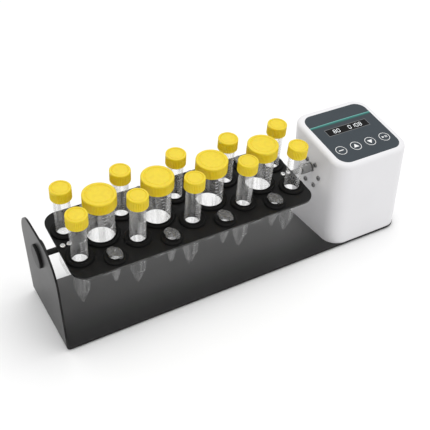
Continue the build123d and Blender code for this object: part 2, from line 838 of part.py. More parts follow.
switch_plane = Plane(origin=(switch_x, rear_face, rear_height), x_dir=(1, 0, 0), z_dir=(0, 1, 0))
with BuildPart(switch_plane) as power_switch:
    Box(rocker_length + 2 * bezel_edge, rocker_width + 2 * bezel_edge, bezel, align=upwards)
    Box(rocker_length, rocker_width, cup_depth, align=downwards)
    with Locations((0, 0, bezel)):
        Box(
            rocker_length - 2 * cup_wall,
            rocker_width - 2 * cup_wall,
            cup_depth + bezel - cup_wall,
            align=downwards,
            mode=Mode.SUBTRACT,
        )
    with Locations((0, 0, -pivot_depth)):
        Cylinder(pivot_radius + running, rocker_width, rotation=(90, 0, 0), mode=Mode.SUBTRACT)
power_switch.part.label = "power_switch"
export_step(power_switch.part, "parts/power_switch.step")

# Seen from above, the rocker is a shallow V that rocks on pins near its back.
rocker_high = bezel + rocker_rise
rocker_low = bezel - rocker_dip
rocker_swept = (pivot_depth + rocker_high) * sin(radians(rocker_swing))
rocker_half = rocker_length / 2 - cup_wall - rocker_swept - free
rocker_height = rocker_width - 2 * cup_wall - 2 * free
with BuildPart() as power_rocker:
    with BuildSketch(Plane((switch_x, rear_face, rear_height - rocker_height / 2))):
        with BuildLine():
            Polyline(
                (-rocker_half, -pivot_depth),
                (-rocker_half, rocker_high),
                (0, rocker_low),
                (rocker_half, rocker_high),
                (rocker_half, -pivot_depth),
                (0, -pivot_depth - rocker_belly),
                close=True,
            )
        make_face()
    extrude(amount=rocker_height)
    with Locations((switch_x, rear_face - pivot_depth, rear_height)):
        Cylinder(pivot_radius, rocker_width - 2 * slip)
power_rocker.part.label = "power_rocker"
export_step(power_rocker.part, "parts/power_rocker.step")
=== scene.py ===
# %% [markdown]
# # A rotary mixer for sample tubes
# The machine turns a rack of capped tubes slowly about a level axis. Its measured solids come
# packed as a fixed frame, and this lesson gives them finishes and adds the moulded, turned and
# printed pieces that close views need. Everything is in metres, in the frame's own places.

# %% Load the frame
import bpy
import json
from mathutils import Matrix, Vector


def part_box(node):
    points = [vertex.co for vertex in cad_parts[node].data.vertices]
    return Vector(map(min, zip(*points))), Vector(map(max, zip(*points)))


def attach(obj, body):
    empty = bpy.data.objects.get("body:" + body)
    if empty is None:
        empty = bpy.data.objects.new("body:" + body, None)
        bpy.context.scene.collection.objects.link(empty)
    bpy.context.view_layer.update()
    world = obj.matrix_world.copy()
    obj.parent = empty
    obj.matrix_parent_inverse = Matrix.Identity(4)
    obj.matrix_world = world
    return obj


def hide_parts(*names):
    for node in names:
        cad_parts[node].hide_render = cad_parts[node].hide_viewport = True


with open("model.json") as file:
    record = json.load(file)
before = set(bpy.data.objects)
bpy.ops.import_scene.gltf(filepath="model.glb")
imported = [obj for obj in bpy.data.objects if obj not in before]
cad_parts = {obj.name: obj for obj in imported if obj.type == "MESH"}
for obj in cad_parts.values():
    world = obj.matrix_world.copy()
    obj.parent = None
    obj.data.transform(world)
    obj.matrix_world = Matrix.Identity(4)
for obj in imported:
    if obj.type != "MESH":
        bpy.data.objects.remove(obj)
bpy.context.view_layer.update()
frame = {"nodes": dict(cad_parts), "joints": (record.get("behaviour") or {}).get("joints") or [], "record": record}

import json
from math import cos, pi, radians, sin

import bmesh
import bpy
import numpy as np

mm = 0.001
nodes = frame["nodes"]
joints = {joint["name"]: joint for joint in frame["joints"]}
slots = [row["slot"] for row in frame["record"]["materials"]]

# %% [markdown]
# ## Camera
# A long lens keeps the rack's edges nearly parallel, as in a catalogue. The camera stands in
# front of the left end, a little over half a metre up, and looks down over the tubes towards
# the drive housing. Angles are simpler to read than a matrix, so it is turned by angles.

# %% Camera
camera_height = 0.5347
camera_dip = radians(36.47)
camera_heading = radians(29.61)
camera_data = bpy.data.cameras.new("camera")
camera_data.sensor_width = 36.0
camera_data.lens = 60.71
camera_data.clip_start = 0.02
camera = bpy.data.objects.new("camera", camera_data)
bpy.context.scene.collection.objects.link(camera)
camera.location = (-0.3289, -0.5546, camera_height)
camera.rotation_euler = (pi / 2 - camera_dip, 0.0, -camera_heading)
bpy.context.scene.camera = camera
print("camera at", tuple(camera.location))

# %% [markdown]
# ## Light
# The machine stands on a pale bench under one large soft light, with a weaker one from the
# front right that lifts the white housing. A dim even world fills the shadows. Large area
# lights also show as broad reflections in the clear tubes, which points of light would not.

# %% World and lights
scene = bpy.context.scene
scene.view_settings.view_transform = "Standard"
scene.cycles.transparent_max_bounces = 24
scene.cycles.max_bounces = 24
world = bpy.data.worlds.new("studio")
world.use_nodes = True
world.node_tree.nodes["Background"].inputs["Color"].default_value = (1.0, 1.0, 1.0, 1.0)
world.node_tree.nodes["Background"].inputs["Strength"].default_value = 0.88
scene.world = world


def soft_light(name, place, target, size, power):
    """A square area light at a place, turned so that its face looks at the target."""
    data = bpy.data.lights.new(name, "AREA")
    data.size = size
    data.energy = power
    light = bpy.data.objects.new(name, data)
    light.location = place
    direction = (np.array(target) - np.array(place)).tolist()
    light.rotation_euler = Vector(direction).to_track_quat("-Z", "Y").to_euler()
    scene.collection.objects.link(light)
    return light


middle = [0.0, 0.0, 0.08]
soft_light("overhead", (0.25, 0.15, 1.7), middle, 1.7, 11.5)
soft_light("front_right", (0.9, -1.3, 0.8), middle, 1.0, 2.5)
soft_light("left", (-1.4, -0.2, 0.9), middle, 0.5, 1.2)

# %% [markdown]
# ## Surfaces from arrays
# Most of what the frame lacks is turned or moulded: caps, tubes, grommets, screws. Each is a
# grid of points, one row per point of a profile and one column per angle, so a few short
# functions make them all. A shape here is a pair: an array of points and a list of faces.

# %% Grids, lathes and joins
def grid_faces(rows, columns, around=True, loop=False):
    """Four-sided faces between each point of a grid and its next row and column. Around joins the
    last column to the first, and loop joins the last row to the first."""
    row = np.arange(rows if loop else rows - 1)[:, None]
    column = np.arange(columns if around else columns - 1)[None, :]
    next_row = (row + 1) % rows
    next_column = (column + 1) % columns
    corners = (
        row * columns + column,
        row * columns + next_column,
        next_row * columns + next_column,
        next_row * columns + column,
    )
    return np.stack(np.broadcast_arrays(*corners), -1).reshape(-1, 4).tolist()


def soften(profile, radius, steps=4, loop=False):
    """Rounds each corner of a profile. From a point one radius before the corner to one as far
    after it, the line follows (1-t)(1-t)A + 2t(1-t)P + ttB, and no radius takes over half a run.
    A radius of nought leaves a corner as it is."""
    points = np.array(profile, float)
    before = np.roll(points, 1, 0) - points
    after = np.roll(points, -1, 0) - points
    run_before = np.linalg.norm(before[:, :2], axis=1)
    run_after = np.linalg.norm(after[:, :2], axis=1)
    reach = np.broadcast_to(np.array(radius, float), len(points)).copy()
    if not loop:
        reach[[0, -1]] = 0.0
    reach = np.minimum(reach, 0.499 * np.minimum(run_before, run_after))
    start = points + before * (reach / np.maximum(run_before, 1e-12))[:, None]
    end = points + after * (reach / np.maximum(run_after, 1e-12))[:, None]
    t = np.linspace(0, 1, steps)[None, :, None]
    curve = (1 - t) ** 2 * start[:, None] + 2 * t * (1 - t) * points[:, None] + t**2 * end[:, None]
    return curve.reshape(-1, points.shape[1])


def lathe(profile, sides=64, ribs=0, loop=False):
    """Carries a profile of radius and height round the upright axis: x = r cos a, y = r sin a.
    A third column is how deep the valleys between ribs go: r is less by half of it times
    1 - cos(ribs a)."""
    rows = np.array(profile, float)
    angle = np.linspace(0, 2 * pi, sides, endpoint=False)[None, :]
    radius = rows[:, :1] + 0 * angle
    if rows.shape[1] > 2:
        radius = radius - rows[:, 2:] * (1 - np.cos(ribs * angle)) / 2
    height = rows[:, 1:2] + 0 * angle
    points = np.stack([radius * np.cos(angle), radius * np.sin(angle), height], -1)
    return points.reshape(-1, 3), grid_faces(len(rows), sides, loop=loop)


def moved(shape, origin, axes=np.eye(3)):
    """The same shape with its own x, y and z laid along three axes from an origin."""
    points, faces = shape
    return points @ np.array(axes) + np.array(origin), faces


def join(shapes):
    """One shape from several, their faces counted on past the points before them."""
    points, faces, count = [], [], 0
    for shape_points, shape_faces in shapes:
        points.append(shape_points)
        faces += [[i + count for i in face] for face in shape_faces]
        count += len(shape_points)
    return np.concatenate(points), faces


def piece(name, shape, body, coat, crease=40.0):
    """Puts a shape into a mesh: doubles at seams and poles are merged, faces turned outwards,
    edges sharper than the crease kept sharp. It rides on a body and takes a finish, which the
    frame knows as a slot unless it is this lesson's own."""
    points, faces = shape
    mesh = bpy.data.meshes.new(name)
    mesh.from_pydata(points.tolist(), [], faces)
    work = bmesh.new()
    work.from_mesh(mesh)
    bmesh.ops.remove_doubles(work, verts=work.verts, dist=0.002 * mm)
    bmesh.ops.dissolve_degenerate(work, edges=work.edges, dist=0.0005 * mm)
    bmesh.ops.recalc_face_normals(work, faces=work.faces)
    work.to_mesh(mesh)
    work.free()
    mesh.shade_smooth()
    mesh.set_sharp_from_angle(angle=radians(crease))
    made = bpy.data.objects.new(name, mesh)
    scene.collection.objects.link(made)
    mesh.materials.append(finishes[coat])
    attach(made, body)
    coat in slots
    return made


print("a quad strip", grid_faces(2, 3))

# %% [markdown]
# ## The rack's and the panel's own directions
# The rack stands a few degrees off level, and the tubes lean with it. The joint that lifts a
# tube gives that leaning direction, so the rack's frame is built from it. The control panel
# slopes as well, and the line along which its keys are pressed gives its frame.

# %% Two leaning frames
def box_middle(node):
    """The middle of a node's box."""
    low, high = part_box(node)
    return (np.array(low) + np.array(high)) / 2


along = np.array([1.0, 0.0, 0.0])
rack_up = np.array(joints["tube_15ml_1_lift"]["axis"], float)
rack_axes = np.array([along, np.cross(rack_up, along), rack_up])
rack_origin = np.array(joints["rack_spin"]["pos_m"], float)
rack_origin[0] = box_middle("rack_plate")[0]
panel_up = -np.array(joints["key_menu_press"]["axis"], float)
panel_axes = np.array([along, np.cross(panel_up, along), panel_up])


def local_box(node, origin, axes):
    """Lowest and highest corner of a node, measured along a frame's own directions."""
    mesh = nodes[node].data
    points = np.zeros(len(mesh.vertices) * 3, np.float32)
    mesh.vertices.foreach_get("co", points)
    local = (points.reshape(-1, 3) - origin) @ axes.T
    return local.min(0), local.max(0)


panel_low, panel_high = local_box("control_panel", np.zeros(3), panel_axes)
panel_origin = np.array([*(panel_low + panel_high)[:2] / 2, panel_high[2]]) @ panel_axes
print("rack leans", np.round(rack_up, 4), "panel faces", np.round(panel_up, 4))

# %% [markdown]
# ## Writing materials as sums
# A material is a small graph of nodes. Written out node by node it hides what it does, so one
# class wraps a socket: adding or multiplying two of them adds the Math node that does it, and
# one method makes any other kind of node.

# %% Sockets that add and multiply
class Wire:
    """What comes out of one socket of a material's nodes."""

    def __init__(self, tree, socket):
        self.tree = tree
        self.socket = socket

    def make(self, kind, settings=None, inputs=None, output=0):
        """Adds a node of a kind, sets its settings, then its inputs, and gives one output."""
        node = self.tree.nodes.new(kind)
        for key, value in (settings or {}).items():
            setattr(node, key, value)
        for key, value in (inputs or {}).items():
            if isinstance(value, Wire):
                self.tree.links.new(value.socket, node.inputs[key])
            else:
                node.inputs[key].default_value = value
        return Wire(self.tree, node.outputs[output])

    def math(self, operation, *values):
        settings = {"operation": operation}
        return self.make("ShaderNodeMath", settings, dict(enumerate(values)))

    def __add__(self, other):
        return self.math("ADD", self, other)

    def __sub__(self, other):
        return self.math("SUBTRACT", self, other)

    def __rsub__(self, other):
        return self.math("SUBTRACT", other, self)

    def __mul__(self, other):
        return self.math("MULTIPLY", self, other)

    def __truediv__(self, other):
        return self.math("DIVIDE", self, other)

    __radd__ = __add__
    __rmul__ = __mul__

    def size(self):
        """The value without its sign."""
        return self.math("ABSOLUTE", self)

    def ramp(self, low, high):
        """A smooth rise from 0 at low to 1 at high, or a fall where low is the larger."""
        settings = {"interpolation_type": "SMOOTHSTEP"}
        return self.make("ShaderNodeMapRange", settings, {0: self, 1: low, 2: high})

    def toward(self, direction, start=(0.0, 0.0, 0.0)):
        """How far a place lies from a start along a direction."""
        inputs = {0: self, 1: tuple(start)}
        offset = self.make("ShaderNodeVectorMath", {"operation": "SUBTRACT"}, inputs)
        inputs = {0: offset, 1: tuple(direction)}
        return self.make("ShaderNodeVectorMath", {"operation": "DOT_PRODUCT"}, inputs, 1)

    def noise(self, size, detail=2.0, stretch=(1.0, 1.0, 1.0)):
        """Soft noise about 0.5, with lumps of about the given size in metres."""
        inputs = {"Scale": tuple(stretch)}
        place = self.make("ShaderNodeMapping", None, {"Vector": self, **inputs})
        inputs = {"Vector": place, "Scale": 1.0 / size, "Detail": detail}
        return self.make("ShaderNodeTexNoise", None, inputs)

    def mix(self, low, high):
        """The colour low where this is 0 and high where it is 1."""
        inputs = {0: self, 6: low, 7: high}
        return self.make("ShaderNodeMix", {"data_type": "RGBA"}, inputs, 2)

    def bump(self, depth, strength=1.0):
        """A normal from this height, which stands for a depth in metres."""
        inputs = {"Strength": strength, "Distance": depth, "Height": self}
        return self.make("ShaderNodeBump", None, inputs)


def grey(tone):
    return (tone, tone, tone, 1.0)


finishes = {}


def finish(name, paint, **plain):
    """A material whose shader takes plain values, and what paint(place, normal) varies."""
    made = bpy.data.materials.new(name)
    made.use_nodes = True
    tree = made.node_tree
    shader = tree.nodes["Principled BSDF"]
    for key, value in plain.items():
        shader.inputs[key.replace("_", " ")].default_value = value
    coordinates = tree.nodes.new("ShaderNodeTexCoord")
    place = Wire(tree, coordinates.outputs["Object"])
    normal = Wire(tree, coordinates.outputs["Normal"])
    for key, wire in paint(place, normal).items():
        tree.links.new(wire.socket, shader.inputs[key])
    finishes[name] = made
    return made


print("a wire's methods", [m for m in dir(Wire) if not m.startswith("_")])

# %% [markdown]
# ## Painted sheet
# The base and the rack are steel sheet with a satin black powder coat: a fine orange peel and
# a little dust that dulls it in clouds. The base's cut edges get painted shade, darker than its
# faces, and the rack's a painted highlight, paler. Edges are found from the normal, because a
# sheet's edge faces sideways. The base also gets a painted reflection on top, paler towards
# the back, which does not follow the light.

# %% Powder coat
def powder_coat(place, normal, tone, edge_tone, edge, rough):
    """Orange peel in the normal, clouds of dust in colour and roughness, and painted light on its own cut edges:
    shade where edge_tone is darker, a highlight where it is paler.
    """
    dust = place.noise(60 * mm, 4.0)
    peel = place.noise(0.9 * mm, 2.0)
    edge_patches = place.noise(14 * mm, 6.0)
    # painted light on the cut edges, in patches: shade where edge_tone is darker, a highlight where it is paler
    painted_edge_mask = edge * edge_patches.ramp(0.25, 0.6)
    dusty = dust.mix(grey(tone * 0.8), grey(tone * 1.3))
    return {
        "Base Color": painted_edge_mask.mix(dusty, grey(edge_tone)),
        "Roughness": rough + 0.10 * dust + 0.05 * peel,
        "Normal": peel.bump(0.02 * mm, 0.35),
    }


def base_coat(place, normal):
    """The coat with painted shade on its cut edges, and a painted reflection on top that grows paler from front to
    back.
    """
    sideways = normal.toward((0, 1, 0)).size().ramp(0.5, 0.9)
    crest = normal.toward((0, 0, 1)).size() * place.toward((0, 0, 1)).ramp(0.090, 0.094)
    # painted shade: the cut edges and the top edge are darker than the faces
    coat = powder_coat(place, normal, 0.018, 0.004, sideways + crest, 0.24)
    on_top = normal.toward((0, 0, 1)).ramp(0.5, 0.95) * (1.0 - crest)
    back = place.toward((0, 1, 0)).ramp(-50 * mm, 10 * mm)
    # painted reflection: the top grows paler towards the back
    painted_reflection = back.mix(grey(0.032), grey(0.118))
    coat["Base Color"] = on_top.mix(coat["Base Color"], painted_reflection)
    return coat


def rack_coat(place, normal):
    """The coat with a painted highlight on its cut edges, a little paler than its faces."""
    flat = normal.toward(rack_axes[2]).size()
    # painted highlight: the cut edges are paler than the faces
    return powder_coat(place, normal, 0.008, 0.08, flat.ramp(0.6, 0.2), 0.34)


finish("black_sheet", base_coat, Specular_IOR_Level=0.12)
finish("rack_sheet", rack_coat, Specular_IOR_Level=0.10)
print("powder coats", "black_sheet", "rack_sheet")

# %% [markdown]
# ## Metals
# Shafts and the bearing cup are turned, so fine noise marks the normal and, faintly, the
# roughness. The noise is scaled down across the axis and left fine along it, which gives bands
# round a shaft. Cast zinc has a sandy skin.

# %% Turned and cast metal
def turned_metal(tone, rough, fine):
    """A paint function for metal turned about the long axis, with marks as fine as given."""

    def paint(place, normal):
        marks = place.noise(fine, 3.0, (1.0, 0.02, 0.02))
        grime = place.noise(5 * mm, 4.0)
        return {
            "Base Color": grime.mix(grey(tone * 0.8), grey(tone * 1.15)),
            "Roughness": rough + 0.14 * grime + 0.08 * marks,
            "Normal": marks.bump(0.01 * mm, 0.4),
        }

    return paint


def cast_metal(place, normal):
    grain = place.noise(0.5 * mm, 3.0)
    stain = place.noise(9 * mm, 4.0)
    return {
        "Base Color": stain.mix(grey(0.42), grey(0.58)),
        "Roughness": 0.42 + 0.2 * grain,
        "Normal": grain.bump(0.03 * mm, 0.6),
    }


finish("black_turned", turned_metal(0.006, 0.30, 0.25 * mm), Specular_IOR_Level=0.15)
finish("dark_screw", turned_metal(0.20, 0.30, 0.2 * mm), Metallic=0.8)
finish("hub_metal", turned_metal(0.26, 0.45, 0.2 * mm), Metallic=0.4)
finish("steel", turned_metal(0.55, 0.22, 0.2 * mm), Metallic=1.0)
finish("can_steel", turned_metal(0.62, 0.24, 0.3 * mm), Metallic=1.0)
finish("bright_screw", turned_metal(0.72, 0.16, 0.2 * mm), Metallic=1.0)
finish("zinc_case", cast_metal, Metallic=1.0)


def bronze(place, normal):
    pores = place.noise(0.4 * mm, 2.0)
    return {
        "Base Color": pores.mix((0.30, 0.16, 0.06, 1.0), (0.52, 0.30, 0.12, 1.0)),
        "Roughness": 0.3 + 0.25 * pores,
        "Normal": pores.bump(0.02 * mm, 0.5),
    }


finish("bronze", bronze, Metallic=1.0)
print("metals", [name for name in finishes if name not in ("black_sheet", "rack_sheet")])

# %% [markdown]
# ## Rubber and plastics
# Grommets and feet are black rubber, dull and slightly powdery. The housing is a white moulded
# shell with a fine spark-eroded grain. Caps are yellow polypropylene, a little translucent, so
# light inside them is spread by a small subsurface share.

# %% Rubber, shell and caps
def rubber(place, normal):
    bloom = place.noise(6 * mm, 5.0)
    skin = place.noise(0.5 * mm, 2.0)
    return {
        "Base Color": bloom.mix(grey(0.004), grey(0.010)),
        "Roughness": 0.50 + 0.20 * bloom,
        "Normal": skin.bump(0.02 * mm, 0.4),
    }


def shell(place, normal):
    grain = place.noise(0.7 * mm, 2.0)
    handling = place.noise(45 * mm, 4.0)
    return {
        "Base Color": handling.mix((0.69, 0.685, 0.70, 1.0), (0.74, 0.735, 0.75, 1.0)),
        "Roughness": 0.34 + 0.10 * handling + 0.05 * grain,
        "Normal": grain.bump(0.015 * mm, 0.3),
    }


def cap_plastic(place, normal):
    flow = place.noise(4 * mm, 3.0)
    skin = place.noise(0.4 * mm, 2.0)
    return {
        "Base Color": flow.mix((0.65, 0.48, 0.004, 1.0), (0.79, 0.61, 0.009, 1.0)),
        "Roughness": 0.36 + 0.12 * flow,
        "Normal": skin.bump(0.012 * mm, 0.3),
    }


finish("rubber", rubber, Specular_IOR_Level=0.08)
finish("white_shell", shell)
finish("yellow_cap", cap_plastic, Subsurface_Weight=0.12, Subsurface_Scale=1.5 * mm)
print("plastics", "rubber", "white_shell", "yellow_cap")

# %% [markdown]
# ## Clear tubes
# The tubes are clear plastic with a wall a millimetre thick, and this lesson lets light pass
# them unbent. What shows is a faint haze where a wall faces the eye and a bright edge where it
# turns away, so a pale glossy shader is mixed over a see-through one by how far the wall turns
# away. Upright streaks are painted in from noise, and painted shade below the rack from height.
# Both ride with a tube and do not follow the light. Smaller tubes are cloudier, lids most of all.

# %% Clear and cloudy plastic
streak_size = 6 * mm
streak_share = 0.22
fade_low, fade_high = 80 * mm, 98 * mm
shaded_share = 0.4


def see_through(name, paint, least, most, sharp, grain):
    """A finish seen through. Its share is least + (most - least) t, where t is how far the wall
    turns away to the power sharp. Painted streaks add to it where t is small. Noise with lumps
    as large as grain makes it uneven, and it fades to the shaded share below the rack."""
    made = finish(name, paint)
    tree = made.node_tree
    glossy = Wire(tree, tree.nodes["Principled BSDF"].outputs[0])
    place = Wire(tree, tree.nodes["Texture Coordinate"].outputs["Object"])
    away = place.make("ShaderNodeLayerWeight", None, {"Blend": 0.5}, 1)
    rise = place.math("POWER", away, sharp)
    uneven = 0.6 + 0.8 * place.noise(grain, 4.0)
    streak = place.noise(streak_size, 1.5, (1.0, 1.0, 0.03)).ramp(0.50, 0.66)
    # painted shade: the haze fades below the rack, which keeps light from it
    above = place.toward((0, 0, 1)).ramp(fade_low, fade_high)
    fade = shaded_share + (1 - shaded_share) * above
    share = (least + (most - least) * rise + streak_share * streak * (1.0 - rise)) * uneven * fade
    window = place.make("ShaderNodeBsdfTransparent")
    mixed = place.make("ShaderNodeMixShader", None, {0: share, 1: window, 2: glossy})
    tree.links.new(mixed.socket, tree.nodes["Material Output"].inputs["Surface"])


def clear(place, normal):
    haze = place.noise(7 * mm, 3.0)
    return {"Roughness": 0.06 + 0.10 * haze, "Base Color": haze.mix(grey(0.70), grey(0.82))}


def cloudy(place, normal):
    cloud = place.noise(1.1 * mm, 4.0)
    return {
        "Base Color": cloud.ramp(0.35, 0.65).mix(grey(0.06), grey(0.42)),
        "Roughness": 0.25 + 0.4 * cloud,
        "Normal": cloud.bump(0.2 * mm, 0.8),
    }


see_through("clear_tube", clear, 0.03, 0.60, 3.0, 6 * mm)
see_through("micro_tube", clear, 0.05, 0.60, 2.5, 2 * mm)
see_through("snap_lid", cloudy, 0.42, 0.95, 2.0, 0.9 * mm)


def ink(place, normal):
    wear = place.noise(0.8 * mm, 3.0)
    return {"Base Color": wear.mix(grey(0.62), grey(0.80)), "Roughness": 0.4 + 0.3 * wear}


finish("ink", ink)
print("clear plastics", "clear_tube", "micro_tube", "snap_lid", "ink")

# %% [markdown]
# ## Control panel
# A slate film is glued flush into the housing's sloping top. Its print lies under a fine matt
# grain: a teal band with a thin bright line along its upper side, thicker in the middle than at
# the ends. A thin pale frame runs round the window. Band and frame are worked out from
# distances along the panel's own directions.

# %% Film, window and board
window_low, window_high = local_box("display_window", panel_origin, panel_axes)
window_middle = (window_low + window_high) / 2
window_half = (window_high - window_low) / 2


def film(place, normal, band):
    """Slate film with fine grain, and where band is true the band and the window's frame."""
    grain = place.noise(0.35 * mm, 2.0)
    rub = place.noise(18 * mm, 4.0)
    slate = rub.mix((0.020, 0.029, 0.037, 1.0), (0.030, 0.042, 0.052, 1.0))
    if band:
        right = place.toward(panel_axes[0], panel_origin)
        up = place.toward(panel_axes[1], panel_origin)
        across = right / (62 * mm)
        height = up - 21.3 * mm
        half = 1.9 * mm - 0.9 * mm * across * across
        inside = (height.size() / half).ramp(1.1, 0.9)
        line = ((height - half).size() / (0.35 * mm)).ramp(1.3, 0.7)
        deep = (height / half).ramp(-1.0, 0.8)
        teal = deep.mix((0.006, 0.055, 0.050, 1.0), (0.028, 0.19, 0.17, 1.0))
        slate = line.mix(inside.mix(slate, teal), (0.16, 0.42, 0.38, 1.0))
        aside = (right - window_middle[0]).size() - window_half[0]
        above = (up - window_middle[1]).size() - window_half[1]
        outside = place.math("MAXIMUM", aside, above)
        rim = ((outside - 0.5 * mm).size() / (0.25 * mm)).ramp(1.4, 0.8)
        slate = rim.mix(slate, grey(0.16))
    return {
        "Base Color": slate,
        "Roughness": 0.38 + 0.12 * rub + 0.06 * grain,
        "Normal": grain.bump(0.01 * mm, 0.35),
    }


def window_glass(place, normal):
    prints = place.noise(8 * mm, 5.0)
    return {"Base Color": prints.mix(grey(0.001), grey(0.003)), "Roughness": 0.05 + 0.12 * prints}


def switch_plastic(place, normal):
    grain = place.noise(0.5 * mm, 2.0)
    wear = place.noise(5 * mm, 4.0)
    return {
        "Base Color": wear.mix(grey(0.010), grey(0.020)),
        "Roughness": 0.34 + 0.2 * wear,
        "Normal": grain.bump(0.02 * mm, 0.4),
    }


def board_resin(place, normal):
    weave = place.noise(0.6 * mm, 2.0, (1.0, 3.0, 1.0))
    return {
        "Base Color": weave.mix((0.005, 0.06, 0.025, 1.0), (0.01, 0.11, 0.045, 1.0)),
        "Roughness": 0.3 + 0.2 * weave,
    }


finish("slate_panel", lambda place, normal: film(place, normal, True), Specular_IOR_Level=0.3)
finish("key_film", lambda place, normal: film(place, normal, False), Specular_IOR_Level=0.3)
finish("black_glass", window_glass, Specular_IOR_Level=0.10, Coat_Weight=0.05, Coat_Roughness=0.05)
finish("switch_black", switch_plastic)
finish("module", switch_plastic)
finish("board", board_resin)


def white_print(place, normal):
    edge = place.noise(0.3 * mm, 3.0)
    return {"Base Color": edge.mix(grey(0.72), grey(0.86)), "Roughness": 0.35 + 0.2 * edge}


def lit_segment(place, normal):
    glow = place.noise(1.5 * mm, 2.0)
    return {"Emission Color": glow.mix((0.80, 0.88, 0.92, 1.0), (1.0, 1.0, 1.0, 1.0))}


finish("white_print", white_print)
finish("lit_segment", lit_segment, Emission_Strength=1.0, Base_Color=grey(0.3))
print("panel finishes", len(finishes), "in all")

# %% [markdown]
# ## Finishes on the frame's own solids
# Sheet parts, the housing, shafts and panel have the right shape already, so they only take a
# finish. Each solid carries the name of its finish. The rack sheet, the keys, the drive hub and
# the end shaft look different from others of their kind, so they get another finish.

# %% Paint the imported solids
special = {"rack_plate": "rack_sheet", "drive_hub": "hub_metal", "end_shaft": "black_turned"}
special.update({f"key_{name}": "key_film" for name in ("menu", "up", "down", "run")})
for name, node in nodes.items():
    for slot in node.material_slots:
        slot.material = finishes[special.get(name, slot.material.name)]
print("painted", len(nodes), "solids")

# %% [markdown]
# ## Caps
# A screw cap is a moulded cup with upright ribs for grip, a smooth band above them, a rounded
# shoulder, and a shallow ring in its top. A lathe with a wavy radius makes ribs and cup as one
# closed skin, and each cap is measured from the solid that it stands for.

# %% Ribbed caps
def cap_profile(radius, height, wall, rib):
    """Radius, height and rib depth down the outside of a cup and back up its inside."""
    top = height - 0.25 * mm
    return soften(
        [
            (0.0, top, 0.0),
            (0.70 * radius, top, 0.0),
            (0.74 * radius, height - 0.7 * mm, 0.0),
            (0.79 * radius, height - 0.7 * mm, 0.0),
            (0.82 * radius, height, 0.0),
            (radius, height, 0.0),
            (radius, height - 2.2 * mm, 0.0),
            (radius, height - 2.8 * mm, rib),
            (radius, 1.5 * mm, rib),
            (radius, 0.9 * mm, 0.0),
            (radius, 0.0, 0.0),
            (radius - wall, 0.0, 0.0),
            (radius - wall, height - wall, 0.0),
            (0.0, height - wall, 0.0),
        ],
        [0, 0.3 * mm, 0.3 * mm, 0.3 * mm, 0.3 * mm, 1.1 * mm, 0.2 * mm]
        + [0.2 * mm, 0.2 * mm, 0.2 * mm, 0.25 * mm, 0.2 * mm, 0.4 * mm, 0],
    )


sizes = {"15ml": (10, 40), "50ml": (4, 72)}
cap_wall = 1.4 * mm
rib_depth = 0.6 * mm
for size, (count, ribs) in sizes.items():
    for number in range(1, count + 1):
        node = f"cap_{size}_{number}"
        low, high = local_box(node, rack_origin, rack_axes)
        radius = (high[0] - low[0]) / 2
        cup = lathe(cap_profile(radius, high[2] - low[2], cap_wall, rib_depth), 6 * ribs, ribs)
        foot = np.array([*(low + high)[:2] / 2, low[2]]) @ rack_axes + rack_origin
        made = piece(f"ribbed_{node}", moved(cup, foot, rack_axes), f"tube_{size}_{number}", "yellow_cap")
        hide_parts(node)
    print(size, "cap radius", round(radius / mm, 2), "mm,", len(made.data.polygons), "faces")

# %% [markdown]
# ## Tubes
# A sample tube is blown thin: a straight barrel, a cone that ends in a small round tip, and a
# wider neck that the cap hides. The profile runs up the outside and back down the inside, so
# the wall is a closed skin.

# %% Clear barrels
barrels = {"15ml": (8.4 * mm, 21 * mm), "50ml": (14.6 * mm, 14 * mm)}
tube_wall = 1.0 * mm


def tube_profile(radius, cone, neck, neck_height, height):
    """Radius and height from the tip up the outside, over the lip and down the inside."""
    inner = radius - tube_wall
    tip = radius / 4
    return soften(
        [
            (0.0, 0.0),
            (tip, 0.0),
            (radius, cone),
            (radius, neck_height),
            (neck, neck_height + 0.4 * mm),
            (neck, height),
            (inner, height),
            (inner, cone),
            (tip - tube_wall / 2, 1.5 * tube_wall),
            (0.0, 1.5 * tube_wall),
        ],
        [0, 2.5 * mm, 4 * mm, 0.3 * mm, 0.2 * mm, 0.5 * mm, 0.4 * mm, 4 * mm, 1.5 * mm, 0],
        7,
    )


for size, (radius, cone) in barrels.items():
    for number in range(1, sizes[size][0] + 1):
        node = f"tube_{size}_{number}"
        low, high = local_box(node, rack_origin, rack_axes)
        cap_low, cap_high = local_box(f"cap_{size}_{number}", rack_origin, rack_axes)
        neck = (high[0] - low[0]) / 2
        profile = tube_profile(radius, cone, neck, cap_low[2] - low[2], high[2] - low[2])
        foot = np.array([*(low + high)[:2] / 2, low[2]]) @ rack_axes + rack_origin
        barrel = moved(lathe(profile, 96), foot, rack_axes)
        made = piece(f"clear_{node}", barrel, f"tube_{size}_{number}", "clear_tube")
        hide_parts(node)
    print(size, "tube", round((high[2] - low[2]) / mm, 1), "mm long,", len(made.data.polygons), "faces")

# %% [markdown]
# ## Printed scales
# Each tube has a printed scale: short marks with a number at the longer ones. A flat strip is
# laid out first, then rolled onto the barrel: its width becomes an angle, and its thickness
# goes outwards. The numbers are made from the built-in letters and rolled the same way.

# %% Marks and numbers
def slab(low, high, steps=1):
    """A closed box between two corners, its first direction divided into steps: each station
    along it has the four corners of its section, and both ends are closed."""
    x = np.linspace(low[0], high[0], steps + 1)
    y = np.array([low[1], high[1], high[1], low[1]])
    z = np.array([low[2], low[2], high[2], high[2]])
    points = np.stack(np.broadcast_arrays(x[:, None], y[None], z[None]), -1).reshape(-1, 3)
    last = 4 * steps
    ends = [[3, 2, 1, 0], [last, last + 1, last + 2, last + 3]]
    return points, grid_faces(steps + 1, 4) + ends


